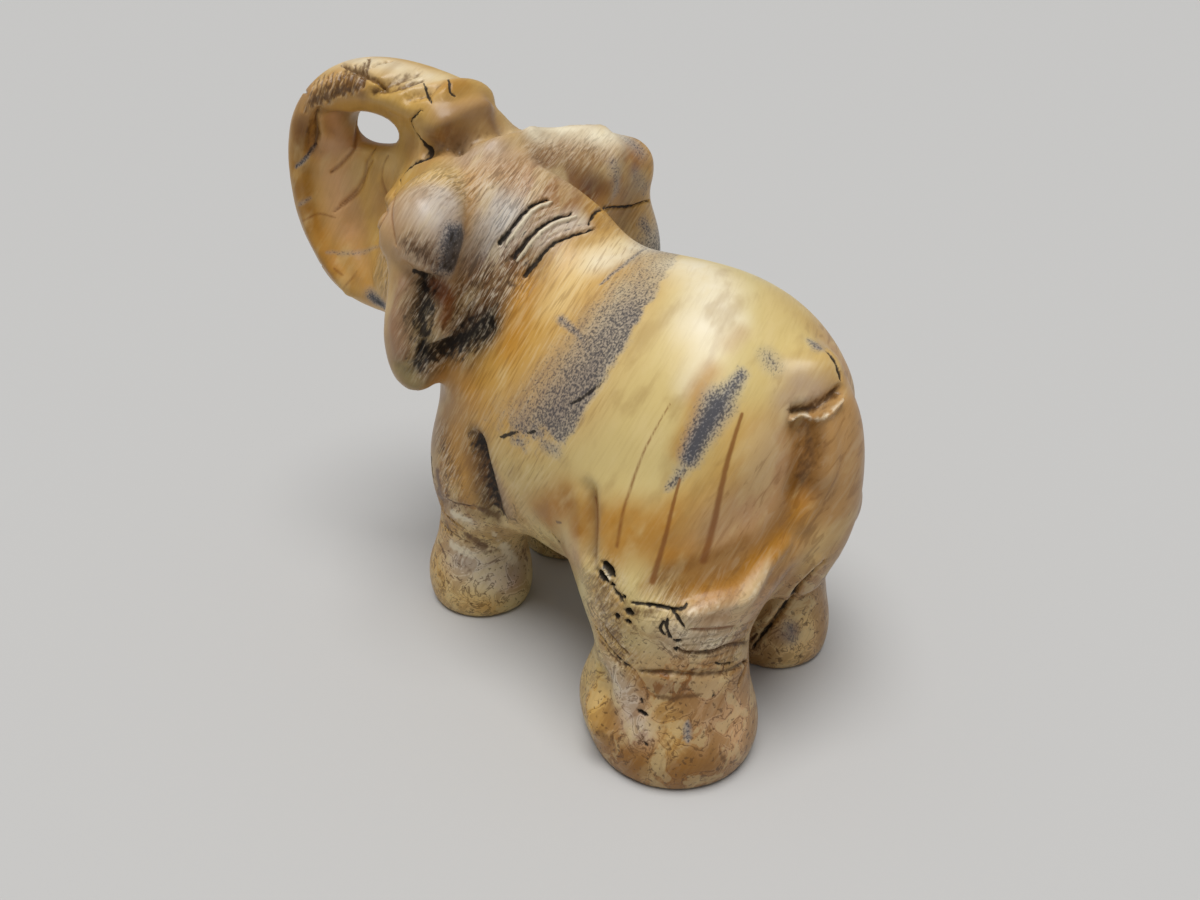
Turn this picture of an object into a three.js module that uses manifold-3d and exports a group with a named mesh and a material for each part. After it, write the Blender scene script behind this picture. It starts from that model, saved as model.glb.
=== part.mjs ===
// A small elephant carved from one pebble of banded stone, standing with its trunk
// curled up and back until the tip rests on its forehead. The form is one field of
// distances: round masses are blended into each other, hollows are cut softly out of
// them, and one skin is drawn over the result.
// The elephant faces -Y, its left side is +X, and the ground is the plane Z = 0. The origin
// is the middle of the whole figure's footprint.
import * as THREE from "three";
import { mergeVertices } from "three/addons/utils/BufferGeometryUtils.js";
import Module from "manifold-3d";

// Driving sizes, in millimetres
const height = 50; // ground to the top of the trunk
const earThickness = 3.8; // flap of the ear at its middle
const webThickness = 2; // stone left inside the loop of the trunk
const loopHole = 3.1; // height of the hole through that web
const trunkTurn = 15; // degrees that the trunk swings to the elephant's left
const flapLean = 0.42; // radians that the ear flap leans out at its point
const skinCell = 1.45; // edge of one cell of the skin, across the body
const headCell = 1.3; // shorter cells along and up the head
const rumpCell = 1.85; // longer cells along the plain rump
const legCell = 1.7; // longer cells up the legs

// The figure's proportions are fiftieths of its height.
const share = height / 50;
const at = (x, y, z) => [x * share, y * share, z * share];
const both = [1, -1]; // left, then right

// Distance fields. Each takes x, y, z and gives the distance to its surface, negative inside.
// A ball has three radii, and leans by an angle in the plane across the body.
function ball([cx, cy, cz], [rx, ry, rz], lean = 0) {
  const [c, s] = [Math.cos(lean), Math.sin(lean)];
  return (x, y, z) => {
    const [px, py, pz] = [x - cx, y - cy, z - cz];
    const [a, b, d] = [(px * c + pz * s) / rx, py / ry, (pz * c - px * s) / rz];
    const near = Math.hypot(a, b, d);
    const slope = Math.hypot(a / rx, b / ry, d / rz);
    return slope === 0 ? -Math.min(rx, ry, rz) : (near * (near - 1)) / slope;
  };
}

// A rounded limb along a smooth curve. Each station is [x, y, z, radius, wide] in shares;
// wide stretches the limb sideways there, about its own middle line.
function limb(stations, steps = 5) {
  const knots = stations.map(([x, y, z]) => new THREE.Vector3(...at(x, y, z)));
  const middle = new THREE.CatmullRomCurve3(knots);
  const count = (stations.length - 1) * steps;
  const beads = Array.from({ length: count + 1 }, (_, i) => {
    const k = Math.min(stations.length - 2, Math.floor(i / steps));
    const ease = THREE.MathUtils.smoothstep(i / steps - k, 0, 1);
    const mixed = (n) => THREE.MathUtils.lerp(stations[k][n] ?? 1, stations[k + 1][n] ?? 1, ease);
    return { at: middle.getPoint(i / count), radius: mixed(3) * share, wide: mixed(4) };
  });
  const links = beads.slice(1).map((end, i) => {
    const way = end.at.clone().sub(beads[i].at);
    return { start: beads[i], end, way, long: way.lengthSq() };
  });
  return (x, y, z) => {
    let best = Infinity;
    for (const { start, end, way, long } of links) {
      const [px, py, pz] = [x - start.at.x, y - start.at.y, z - start.at.z];
      const t = THREE.MathUtils.clamp((px * way.x + py * way.y + pz * way.z) / long, 0, 1);
      const wide = start.wide + (end.wide - start.wide) * t;
      const radius = start.radius + (end.radius - start.radius) * t;
      const [ox, oy, oz] = [(px - way.x * t) / wide, py - way.y * t, pz - way.z * t];
      best = Math.min(best, Math.hypot(ox, oy, oz) - radius);
    }
    return best;
  };
}

// The smaller of two distances, with a fillet of about the given size where they meet
const softMin = (a, b, fillet) => {
  const meet = Math.max(fillet - Math.abs(a - b), 0) / fillet;
  return Math.min(a, b) - (meet * meet * fillet) / 4;
};
const blend = (fillet, first, ...rest) => (x, y, z) =>
  rest.reduce((d, field) => softMin(d, field(x, y, z), fillet * share), first(x, y, z));
const hollow = (fillet, solid, ...cuts) => (x, y, z) =>
  cuts.reduce((d, cut) => -softMin(-d, cut(x, y, z), fillet * share), solid(x, y, z));
const mirrored = (side, field) => (x, y, z) => field(x * side, y, z);

// Swings a field about the upright line through (cx, cy).
function swung(degrees, [cx, cy], field) {
  const turn = THREE.MathUtils.degToRad(degrees);
  const [c, s] = [Math.cos(turn), Math.sin(turn)];
  return (x, y, z) => {
    const [px, py] = [x - cx, y - cy];
    return field(cx + px * c + py * s, cy + py * c - px * s, z);
  };
}

// Barrel, belly, chest and rump
function torso() {
  const barrel = ball(at(0, 3.5, 23.8), at(12.6, 18, 13.2));
  const belly = ball(at(0, 1, 21), at(11.5, 13, 13));
  const rump = ball(at(0, 10.3, 22.6), at(12.6, 11.6, 13.4));
  const chest = ball(at(0, -7, 25), at(10.5, 9, 12));
  return blend(4, barrel, belly, rump, chest);
}

// A leg is a short column that widens into the hip above and the foot below.
function leg(side, { hip, knee, foot, thick, pad }) {
  const [fx, fy] = foot;
  const column = limb([hip, [...knee, thick], [fx, fy, 4, thick], [fx, fy, 1, thick]]);
  const sole = ball(at(fx, fy, 2.5), at(pad[0], pad[1], 4.5));
  return mirrored(side, blend(2, column, sole));
}

// The ear's top is rolled over into a thick lobe. The flap hangs below it to a blunt point.
function ear(side, [endX, endRadius], flapOut) {
  const lobe = limb([
    [4, -12.5, 39, 4.6],
    [9, -11, 39.6, 4],
    [endX, -9.9, 39.5, endRadius],
  ]);
  const rim = limb([
    [flapOut - 2, -10.2, 36, 2.2],
    [flapOut, -9.5, 31.8, 1.9],
    [flapOut + 0.5, -9.3, 28.4, 1.6],
  ]);
  const flap = ball(at(flapOut - 2.6, -10.3, 33), [4.8 * share, earThickness / 2, 7 * share], flapLean);
  return mirrored(side, blend(2, lobe, rim, flap));
}

function head() {
  const skull = ball(at(0, -14, 34.5), at(8.4, 8.5, 9.6));
  const nape = ball(at(0, -9.5, 36), at(6, 6, 7));
  const crown = ball(at(0.4, -15.8, 42.2), at(5, 4.5, 4));
  const cheeks = both.map((side) => ball(at(side * 4.2, -18.5, 32), at(3.8, 5.5, 5)));
  const brows = both.map((side) => ball(at(side * 4.4, -18, 38.2), at(3, 3.4, 3)));
  const jaw = limb([
    [0, -12, 27, 4],
    [0.8, -18, 25.4, 3],
    [1.7, -22.4, 25.6, 1.8],
  ]);
  return blend(2.5, skull, nape, crown, ...cheeks, ...brows, jaw);
}

// The trunk leaves the face forwards, rises and curls back to the forehead. Its stations
// lie in the middle plane that is then swung.
function trunk() {
  const coil = limb([
    [0, -17, 32.5, 5.6],
    [0, -22.5, 31, 4.6],
    [0, -27.5, 30.8, 3.8, 1.1],
    [0, -30.8, 33.8, 2.8, 1.4],
    [0, -32.3, 39.5, 2.1, 1.9],
    [0, -31, 44.6, 2.1, 2],
    [0, -27.8, 47.4, 2.1, 2],
    [0, -23.5, 47.8, 2.1, 2],
    [0, -19.8, 47, 2.2, 2],
    [0, -17.2, 46.2, 2.4, 1.7],
  ]);
  const web = ball(at(0, -24.5, 38), [webThickness / 2 + 2, 9 * share, 10 * share]);
  const scoops = both.map((side) => ball(at(side * 6.2, -24.3, 38.5), at(5.2, 7.6, 8)));
  const whole = hollow(2, blend(2, coil, web), ...scoops);
  return swung(trunkTurn, at(0, -13, 0), whole);
}

function loop() {
  const hole = ball(at(0, -25.6, 43.9), [20 * share, loopHole * 1.08, loopHole / 2]);
  return swung(trunkTurn, at(0, -13, 0), hole);
}

function tail() {
  return limb([
    [0, 19.4, 31.8, 2, 1.3],
    [0, 21.4, 27, 2.2, 1.4],
    [0, 21.6, 20, 2.4, 1.3],
    [0, 19.6, 14, 2.4, 1.2],
  ]);
}

// A soft valley runs from the root of the tail round the haunch, and under it the thigh
// steps out again. The right thigh is narrower.
function haunch(side, narrow) {
  return mirrored(side, limb([
    [4.8, 22.7, 31.5, 1.8],
    [5.6, 23.3, 28.6, 2.4],
    [8.4, 22.6, 24.4, 2.6],
    [12 * narrow, 20.7, 22.3, 2.5],
    [15.2 * narrow, 18, 20.9, 2.1],
    [17.4 * narrow, 13.6, 20.2, 1.2],
  ]));
}

function thighStep(side, narrow) {
  return mirrored(side, limb([
    [5, 19.2, 19, 1.8],
    [8.4 * narrow, 18.8, 17, 2],
    [11.4 * narrow, 16.8, 16.2, 2.1],
    [12.8 * narrow, 14, 15.8, 2.1],
  ]));
}

function legs() {
  const [left, right] = both;
  const toe = ball(at(11.2, 9.4, 3.6), at(2.4, 2.4, 3));
  const hindLeft = { hip: [8, 12.5, 17, 7.8], knee: [9.3, 13.8, 10], foot: [9.9, 14.7] };
  const hindRight = { hip: [6.5, 12.5, 16, 7.2], knee: [6.8, 13.6, 10], foot: [6.6, 14] };
  const foreLeft = { hip: [6, -9, 17, 6], knee: [5.8, -11, 10], foot: [5.6, -12.4] };
  const foreRight = { hip: [6, -9, 17, 6], knee: [6.8, -11, 10], foot: [7.2, -12.4] };
  return [
    leg(left, { ...hindLeft, thick: 6.3, pad: [6.8, 7] }),
    leg(right, { ...hindRight, thick: 4.6, pad: [4.8, 5] }),
    leg(left, { ...foreLeft, thick: 4.3, pad: [4.7, 5.2] }),
    leg(right, { ...foreRight, thick: 4.3, pad: [4.6, 5.2] }),
    toe,
  ];
}

function elephant() {
  const [left, right] = both;
  const body = blend(3.5, torso(), ...legs());
  const thighs = [thighStep(left, 1), thighStep(right, 0.76)];
  const valleys = [haunch(left, 1), haunch(right, 0.88)];
  const hind = blend(1.5, hollow(2.5, blend(3, body, ...thighs), ...valleys), tail());
  const face = blend(2, head(), trunk());
  const ears = [ear(left, [11.8, 3.5], 13.6), ear(right, [13.4, 2.9], 15.4)];
  return hollow(1, blend(2, blend(5, hind, face), ...ears), loop());
}

// Grid lines from low to high, with the cell's edge changing from one size to another
// across a stretch centred on turn. One more line lies outside the low end, because the
// skin is drawn from the second line on.
function gridLines(low, high, first, last = first, turn = 0, stretch = 1) {
  const lines = [low - first, low];
  while (lines.at(-1) < high) {
    const far = THREE.MathUtils.smoothstep(lines.at(-1), turn - stretch, turn + stretch);
    lines.push(lines.at(-1) + THREE.MathUtils.lerp(first, last, far));
  }
  return lines;
}

// One closed skin over a field: a vertex for each patch of surface in a cell, pulled on
// to the surface, and a quad round each grid edge that it cuts.
function skin(field, xs, ys, zs) {
  const [nx, ny, nz] = [xs.length, ys.length, zs.length];
  const index = (i, j, k) => (k * ny + j) * nx + i;
  const value = new Float64Array(nx * ny * nz);
  for (let k = 0; k < nz; k++)
    for (let j = 0; j < ny; j++)
      for (let i = 0; i < nx; i++) value[index(i, j, k)] = field(xs[i], ys[j], zs[k]);

  const positions = [];
  const cutVertex = new Map();
  const cutKey = (cell, from, to) => (cell * corners.length + from) * corners.length + to;
  for (let k = 0; k < nz - 1; k++)
    for (let j = 0; j < ny - 1; j++)
      for (let i = 0; i < nx - 1; i++) {
        const values = corners.map(([a, b, c]) => value[index(i + a, j + b, k + c)]);
        const inside = values.filter((d) => d < 0).length;
        if (inside === 0 || inside === corners.length) continue;
        const spans = [[xs, i], [ys, j], [zs, k]].map(([lines, n]) => [lines[n], lines[n + 1]]);
        for (const cuts of patches(values)) {
          for (const cut of cuts) cutVertex.set(cutKey(index(i, j, k), ...cut), positions.length);
          positions.push(settled(field, crossing(values, spans, cuts), spans));
        }
      }

  const faces = [];
  const off = (a, b) => {
    const [p, q] = [positions[a], positions[b]];
    return Math.abs(field(...p.map((v, d) => (v + q[d]) / 2)));
  };
  const quad = (a, b, c, d, flip) => {
    const [p, q, r, s] = flip ? [a, d, c, b] : [a, b, c, d];
    if (off(p, r) < off(q, s)) faces.push(p, q, r, p, r, s);
    else faces.push(p, q, s, q, r, s);
  };
  for (let k = 1; k < nz - 1; k++)
    for (let j = 1; j < ny - 1; j++)
      for (let i = 1; i < nx - 1; i++) {
        const solid = value[index(i, j, k)] < 0;
        const [alongX, alongY, alongZ] = strides.map((stride) => (a, b, c) => {
          const from = cornerAt(a, b, c);
          return cutVertex.get(cutKey(index(i - a, j - b, k - c), from, from + stride));
        });
        if (solid !== value[index(i + 1, j, k)] < 0)
          quad(alongX(0, 1, 1), alongX(0, 0, 1), alongX(0, 0, 0), alongX(0, 1, 0), !solid);
        if (solid !== value[index(i, j + 1, k)] < 0)
          quad(alongY(1, 0, 1), alongY(1, 0, 0), alongY(0, 0, 0), alongY(0, 0, 1), !solid);
        if (solid !== value[index(i, j, k + 1)] < 0)
          quad(alongZ(1, 1, 0), alongZ(0, 1, 0), alongZ(0, 0, 0), alongZ(1, 0, 0), !solid);
      }
  return { vertProperties: new Float32Array(positions.flat()), triVerts: new Uint32Array(faces) };
}

// A cell's corners as steps of 0 or 1 along x, y and z. In their list, the next corner
// along x, y or z is 1, 2 or 4 places on.
const corners = Array.from({ length: 8 }, (_, n) => [n & 1, (n >> 1) & 1, (n >> 2) & 1]);
const strides = [1, 2, 4];
const cornerAt = (a, b, c) => a * strides[0] + b * strides[1] + c * strides[2];
const cellEdges = corners.flatMap((_, a) =>
  strides.filter((stride) => !(a & stride)).map((stride) => [a, a + stride]));
const cellSides = strides.flatMap((stride) => [0, stride].map((half) =>
  cellEdges.filter((edge) => edge.every((corner) => (corner & stride) === half))));

// The cut edges of a cell, in one list for each separate patch of surface. Where solid
// corners face each other across a side of the cell, the surface goes round each of them.
function patches(values) {
  const isCut = ([a, b]) => values[a] < 0 !== values[b] < 0;
  const solidEnd = ([a, b]) => (values[a] < 0 ? a : b);
  let lists = cellEdges.filter(isCut).map((edge) => [edge]);
  for (const side of cellSides) {
    const cuts = side.filter(isCut);
    for (const p of cuts)
      for (const q of cuts) {
        if (cuts.length > 2 && solidEnd(p) !== solidEnd(q)) continue;
        const touching = (list) => list.includes(p) || list.includes(q);
        lists = [lists.filter(touching).flat(), ...lists.filter((list) => !touching(list))];
      }
  }
  return lists.filter((list) => list.length);
}

// The mean of the points where the surface cuts the edges of one patch
function crossing(values, spans, cuts) {
  const place = (n, d) => spans[d][corners[n][d]];
  return [0, 1, 2].map((d) => {
    const along = cuts.map(([a, b]) => {
      const t = values[a] / (values[a] - values[b]);
      return THREE.MathUtils.lerp(place(a, d), place(b, d), t);
    });
    return along.reduce((sum, v) => sum + v) / along.length;
  });
}

// Moves a point down the field's slope to its surface, but keeps it inside its own cell.
function settled(field, start, spans) {
  const rounds = 3;
  const nudge = 0.01; // mm
  const leastSlope = 0.25;
  const wallGap = 0.01; // share of a cell that a point keeps clear of its walls
  let p = start;
  for (let round = 0; round < rounds; round++) {
    const here = field(...p);
    const slope = [0, 1, 2].map((d) => (field(...p.map((v, n) => (n === d ? v + nudge : v))) - here) / nudge);
    const steep = slope.reduce((sum, g) => sum + g * g, 0);
    p = p.map((v, d) => {
      const [low, high] = [wallGap, 1 - wallGap].map((t) => THREE.MathUtils.lerp(...spans[d], t));
      return THREE.MathUtils.clamp(v - (here * slope[d]) / Math.max(steep, leastSlope), low, high);
    });
  }
  return p;
}

// The skin runs on below the ground, and one block cuts the feet off flat.
async function standingSolid() {
  const wasm = await Module();
  wasm.setup();
  const reach = 20 * share;
  const [front, back] = [-40 * share, 28 * share];
  const [low, high] = [-7 * share, 53 * share];
  const xs = gridLines(-reach, reach, skinCell);
  const ys = gridLines(front, back, headCell, rumpCell, -5 * share, 5 * share);
  const zs = gridLines(low, high, legCell, headCell, 24 * share, 6 * share);
  const whole = new wasm.Manifold(new wasm.Mesh({ numProp: 3, ...skin(elephant(), xs, ys, zs) }));

  const ground = new THREE.BoxGeometry(4 * reach, 4 * reach, reach).translate(0, 0, -reach / 2);
  ground.deleteAttribute("normal");
  ground.deleteAttribute("uv");
  const block = mergeVertices(ground);
  const below = new wasm.Manifold(new wasm.Mesh({
    numProp: 3,
    vertProperties: block.attributes.position.array,
    triVerts: new Uint32Array(block.index.array),
  }));
  const cut = whole.subtract(below).getMesh();
  const geometry = new THREE.BufferGeometry()
    .setAttribute("position", new THREE.BufferAttribute(cut.vertProperties, 3))
    .setIndex(new THREE.BufferAttribute(cut.triVerts, 1));
  geometry.computeBoundingBox();
  const middle = geometry.boundingBox.getCenter(new THREE.Vector3());
  return geometry.translate(-middle.x, -middle.y, 0);
}

const stone = new THREE.MeshStandardMaterial({ color: 0xc9a46a, roughness: 0.35, metalness: 0 });
const figure = new THREE.Mesh(await standingSolid(), stone);
figure.name = "elephant";
const root = new THREE.Group();
root.add(figure);

export default root;
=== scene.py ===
import math

import bpy
import numpy as np
from mathutils import Matrix, Vector
from mathutils.bvhtree import BVHTree
from mathutils.kdtree import KDTree


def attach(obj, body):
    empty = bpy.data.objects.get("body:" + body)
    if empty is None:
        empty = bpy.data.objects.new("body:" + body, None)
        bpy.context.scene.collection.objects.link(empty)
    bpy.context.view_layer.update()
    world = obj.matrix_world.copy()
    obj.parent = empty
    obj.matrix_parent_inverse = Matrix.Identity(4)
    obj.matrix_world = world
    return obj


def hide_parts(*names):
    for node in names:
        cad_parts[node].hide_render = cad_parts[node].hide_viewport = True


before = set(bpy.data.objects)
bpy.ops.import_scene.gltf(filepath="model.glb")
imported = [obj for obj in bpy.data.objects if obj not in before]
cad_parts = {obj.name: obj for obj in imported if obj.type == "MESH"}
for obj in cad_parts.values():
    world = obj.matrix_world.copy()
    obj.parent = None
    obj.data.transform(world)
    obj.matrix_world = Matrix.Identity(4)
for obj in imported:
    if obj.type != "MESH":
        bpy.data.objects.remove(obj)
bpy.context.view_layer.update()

mm = 0.001

# The picture's camera: where it stands, in mm, and how it looks at the elephant
picture = {
    "width": 1200,
    "height": 900,
    "place": (71.08, 62.52, 68.68),
    "azimuth": 130,       # degrees round the elephant, from its face
    "elevation": 29,      # degrees
    "focal": 1150,        # pixels
    "sensor": 36,         # mm
}

# The stone's beds are planes: one point on the edge of the dark bed, and the way across the beds
beds = {"edge": (9.52, 11.92, 31.74), "across": (-0.382, 0.797, -0.467)}

stone = {
    "voxel": 0.45,        # mm between the points of the fine skin
    "rounds": 22,         # of smoothing, which take out the model's facets
    "thin": 0.6,          # mm: strokes with a smaller half width get a finer skin
    "cuts": 2,            # across each face beside a thin stroke
    "pixelStep": 4,       # pixels between the points of a stroke given in the picture
    "mmStep": 0.35,       # and mm between those of one given in mm
    "facing": 0.1,        # least cosine between the skin and the skin a stroke was laid on
    "ragged": 0.16,       # how far cracks stray, as a share of their steps
    "blunt": 0.45,        # how much of its width a thin stroke keeps at its ends
    "richness": 1.04,     # saturation of the colours
    "shine": 0.32,        # how much light the polished face throws back
    "roughness": (0.29, 0.42),  # where the wax is smooth, and where it is dull
    "bump": 0.08,         # mm, of the fine lines and specks
}


def linear(colour):
    # an sRGB colour like "#AABBCC", as the linear values that Blender takes
    parts = [int(colour[i:i + 2], 16) / 255 for i in (1, 3, 5)]
    return [p / 12.92 if p <= 0.04045 else ((p + 0.055) / 1.055) ** 2.4 for p in parts]


def cameraAxes():
    # the camera's own right, up and back
    a, e = math.radians(picture["azimuth"]), math.radians(picture["elevation"])
    z = Vector((math.sin(a) * math.cos(e), -math.cos(a) * math.cos(e), math.sin(e)))
    x = Vector((0, 0, 1)).cross(z).normalized()
    return x, z.cross(x), z


# Each view drops the points of a stroke on to the stone: "photo" takes pixels of the picture,
# the others take mm, as two of x, y and z in that order
right, up, back = cameraAxes()
away = 90                 # mm, from where the side views look in
views = {
    "left": lambda a, b: ((away, a, b), (-1, 0, 0)),
    "right": lambda a, b: ((-away, a, b), (1, 0, 0)),
    "front": lambda a, b: ((a, -away, b), (0, 1, 0)),
    "rear": lambda a, b: ((a, away, b), (0, -1, 0)),
    "top": lambda a, b: ((a, b, away), (0, 0, -1)),
}


def ray(view, a, b):
    # where the ray through a point of a view starts, and its way
    if view == "photo":
        way = -back + right * ((a - picture["width"] / 2) / picture["focal"])
        return Vector(picture["place"]), way - up * ((b - picture["height"] / 2) / picture["focal"])
    start, way = views[view](a, b)
    return Vector(start), Vector(way)


def points(mesh):
    # where the mesh's points are, as an array
    flat = np.empty(len(mesh.vertices) * 3, np.float32)
    mesh.vertices.foreach_get("co", flat)
    return flat.reshape(-1, 3)


def smoothed(skin):
    # smooths the skin, and tells where its points are then
    smooth = skin.modifiers.new("facets out", "SMOOTH")
    smooth.factor = 0.5
    smooth.iterations = stone["rounds"]
    bpy.ops.object.modifier_apply(modifier=smooth.name)
    return points(skin.data)


def fineSkin():
    # a copy of the CAD node, merged, remeshed and smoothed
    bpy.ops.object.select_all(action="DESELECT")
    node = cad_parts["elephant"]
    node.select_set(True)
    bpy.context.view_layer.objects.active = node
    bpy.ops.object.duplicate()
    skin = bpy.context.view_layer.objects.active
    skin.name = skin.data.name = "carvedElephant"
    for key in list(skin.keys()):
        del skin[key]
    skin.parent = None
    skin.matrix_world = Matrix.Identity(4)
    bpy.ops.object.mode_set(mode="EDIT")
    bpy.ops.mesh.select_all(action="SELECT")
    bpy.ops.mesh.remove_doubles(threshold=0.01 * mm)
    bpy.ops.mesh.normals_make_consistent(inside=False)
    bpy.ops.object.mode_set(mode="OBJECT")
    remesh = skin.modifiers.new("fine skin", "REMESH")
    remesh.mode = "VOXEL"
    remesh.voxel_size = stone["voxel"] * mm
    bpy.ops.object.modifier_apply(modifier=remesh.name)
    once, twice = [smoothed(skin) for _ in range(2)]
    # twice the first smoothing less the second: no facets, and thin rims keep their width
    skin.data.vertices.foreach_set("co", (2 * once - twice).ravel())
    skin.data.update()
    skin.data.materials.clear()
    return skin


def bend(path, step):
    # a smooth curve through the points of a path (Catmull-Rom)
    p = np.array([path[0], *path, path[-1]], float)
    curve = []
    for a, b, c, d in zip(p, p[1:], p[2:], p[3:]):
        parts = max(1, math.ceil(np.hypot(*(c - b)) / step))
        for t in np.arange(parts) / parts:
            curve.append(0.5 * (2 * b + (c - a) * t + (2 * a - 5 * b + 4 * c - d) * t * t
                                + (3 * b - a - 3 * c + d) * t ** 3))
    curve.append(p[-1])
    return curve


def treeOf(mesh):
    # the mesh in mm, for rays to hit
    corners = [Vector(v) for v in points(mesh) / mm]
    return BVHTree.FromPolygons(corners, [tuple(p.vertices) for p in mesh.polygons])


def onSkin(rays, view, path, ragged=0.0):
    # the path laid on the skin, ragged where it is a crack; its own place seeds the raggedness
    step = stone["pixelStep"] if view == "photo" else stone["mmStep"]
    chance = np.random.default_rng(int(1000 * abs(path[0][0])))
    line, facings = [], []
    for a, b in bend(path, step):
        a, b = (a, b) + step * ragged * chance.uniform(-1, 1, 2)
        place, facing, _, _ = rays.ray_cast(*ray(view, a, b))
        if place is not None:
            line.append(place)
            facings.append(facing)
    return [np.array(found, np.float32).reshape(-1, 3) for found in (line, facings)]


# Strokes. Each has its view, its half width in mm, what it does, and its path. It leaves pigments
# with their strength, a wash of colour, or a groove or ridge with its height in mm; "ends" scales
# its width at both ends.

# The stone's colours, as they would be in white light
colours = {
    "gold": "#CBA05A",
    "paleGold": "#DDBE84",
    "honey": "#C08C42",
    "ochre": "#B27B2E",
    "deepOchre": "#8A5C26",
    "cream": "#EBDFC2",
    "butter": "#D6BF82",
    "tan": "#B88F5E",
    "pinkTan": "#B6906C",
    "greyTan": "#B39A82",
    "paleGrey": "#D6D0C8",
    "olive": "#94835A",
    "umber": "#74502F",
    "darkUmber": "#33261C",
    "rust": "#6A3A18",
    "strip": "#96755A",
    "peach": "#D6AA7E",
    "russet": "#93602F",
    "plum": "#77594A",
}

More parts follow.
